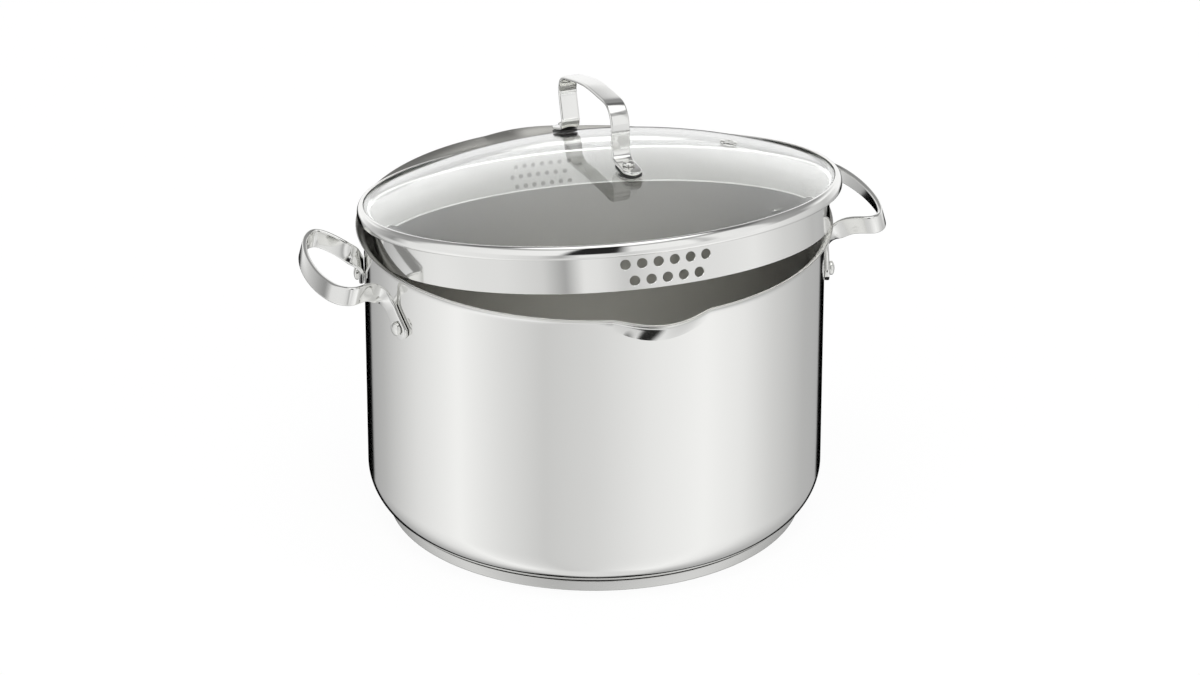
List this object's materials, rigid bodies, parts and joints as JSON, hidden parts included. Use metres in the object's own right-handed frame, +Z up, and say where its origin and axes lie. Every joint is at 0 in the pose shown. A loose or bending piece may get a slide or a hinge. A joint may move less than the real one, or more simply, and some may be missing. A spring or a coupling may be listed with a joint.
{
  "type": "stockpot",
  "caption": "Two-handled steel stockpot with two pouring spouts and a domed glass lid, its pierced strainer skirt set ajar on the rim.",
  "frame": {"origin": "centre of the base's underside", "axes": "+Z up out of the mouth, -Y to the spout by the large strainer holes, +X to the right handle"},
  "size_m": [0.314, 0.2639, 0.2436],
  "materials": {
    "polished_steel": "mirror-polished stainless steel outside, satin inside",
    "satin_base_steel": "satin stainless steel",
    "core_aluminium": "plain sheet, hidden in the base",
    "handle_steel": "polished stainless steel",
    "clear_silicone": "clear silicone",
    "band_steel": "polished stainless steel",
    "clear_glass": "clear tempered glass",
    "strainer_steel": "polished stainless steel",
    "vent_steel": "polished stainless steel",
    "dark_seal": "black silicone",
    "washer_steel": "plain stainless steel"
  },
  "bodies": {
    "pot": {"pot_body": "polished_steel", "base_core": "core_aluminium", "base_cap": "satin_base_steel", "left_handle": "handle_steel", "right_handle": "handle_steel", "left_rivet_front": "handle_steel", "left_rivet_back": "handle_steel", "right_rivet_front": "handle_steel", "right_rivet_back": "handle_steel"},
    "lid_carrier": {"glass_gasket": "clear_silicone"},
    "lid": {"lid_band": "band_steel", "lid_glass": "clear_glass", "strainer_skirt": "strainer_steel", "vent_grommet": "vent_steel", "lid_handle": "handle_steel", "lid_rivet_front": "handle_steel", "lid_rivet_back": "handle_steel", "lid_seal_front": "dark_seal", "lid_seal_back": "dark_seal", "lid_washer_front": "washer_steel", "lid_washer_back": "washer_steel"}
  },
  "joints": [
    {"name": "lid_lift", "type": "slide", "parent": "pot", "child": "lid_carrier", "axis": [0, 0, 1], "range_m": [0, 0.15]},
    {"name": "lid_turn", "type": "hinge", "parent": "lid_carrier", "child": "lid", "pos_m": [0.00046, -0.00657, 0.18343], "axis": [-0.0133, 0.1903, 0.9816], "continuous": true}
  ]
}
